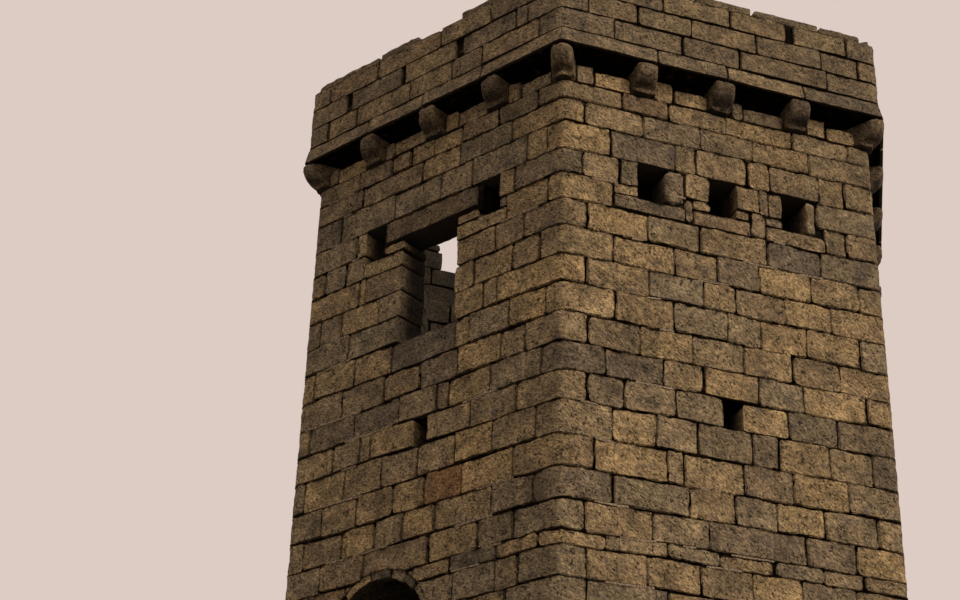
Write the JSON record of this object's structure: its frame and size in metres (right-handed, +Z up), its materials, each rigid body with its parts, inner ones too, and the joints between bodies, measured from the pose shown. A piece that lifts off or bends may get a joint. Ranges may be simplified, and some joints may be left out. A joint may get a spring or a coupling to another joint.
{
  "type": "castle keep",
  "caption": "Roofless hexagonal stone castle keep with a corbelled parapet, an arched upper doorway, a window, slits and beam sockets.",
  "frame": {"origin": "centre of the hexagonal base at ground level", "axes": "+Z up, -Y out of the front side, +X to the right of someone facing the front"},
  "size_m": [8.0734, 6.9918, 14.76],
  "materials": {
    "ashlar_lower": "weathered split-faced ashlar, earth stained",
    "ashlar_upper": "weathered split-faced ashlar with lichen",
    "dressed_stone": "dressed and weathered",
    "parapet_stone": "weathered squared stone",
    "cap_stone": "weathered, lichen on top",
    "joist_oak": "rough hewn, grey with age",
    "floor_board": "worn, grey with age"
  },
  "bodies": {
    "root": {"front_base_wall": "ashlar_lower", "front_right_base_wall": "ashlar_lower", "back_right_base_wall": "ashlar_lower", "back_base_wall": "ashlar_lower", "back_left_base_wall": "ashlar_lower", "front_left_base_wall": "ashlar_lower", "entrance_floor_joists": "joist_oak", "entrance_floor_boards": "floor_board", "front_lower_wall": "ashlar_lower", "front_right_lower_wall": "ashlar_lower", "back_right_lower_wall": "ashlar_lower", "back_lower_wall": "ashlar_lower", "back_left_lower_wall": "ashlar_lower", "doorway_left_wall": "ashlar_lower", "doorway_right_wall": "ashlar_lower", "doorway_arch_wall": "ashlar_lower", "upper_floor_joists": "joist_oak", "upper_floor_boards": "floor_board", "front_upper_wall": "ashlar_upper", "front_socket_course": "ashlar_upper", "front_top_wall": "ashlar_upper", "front_right_upper_wall": "ashlar_upper", "back_right_upper_wall": "ashlar_upper", "back_upper_wall": "ashlar_upper", "back_left_upper_wall": "ashlar_upper", "window_breast_wall": "ashlar_upper", "window_left_wall": "ashlar_upper", "window_right_wall": "ashlar_upper", "window_lintel": "dressed_stone", "front_left_top_wall": "ashlar_upper", "front_head_course": "ashlar_upper", "front_right_head_course": "ashlar_upper", "back_right_head_course": "ashlar_upper", "back_head_course": "ashlar_upper", "back_left_head_course": "ashlar_upper", "front_left_head_course": "ashlar_upper", "corbels": "dressed_stone", "front_parapet": "parapet_stone", "front_right_parapet": "parapet_stone", "back_right_parapet": "parapet_stone", "back_parapet": "parapet_stone", "back_left_parapet": "parapet_stone", "front_left_parapet": "parapet_stone", "parapet_cap_stones": "cap_stone"}
  },
  "joints": []
}
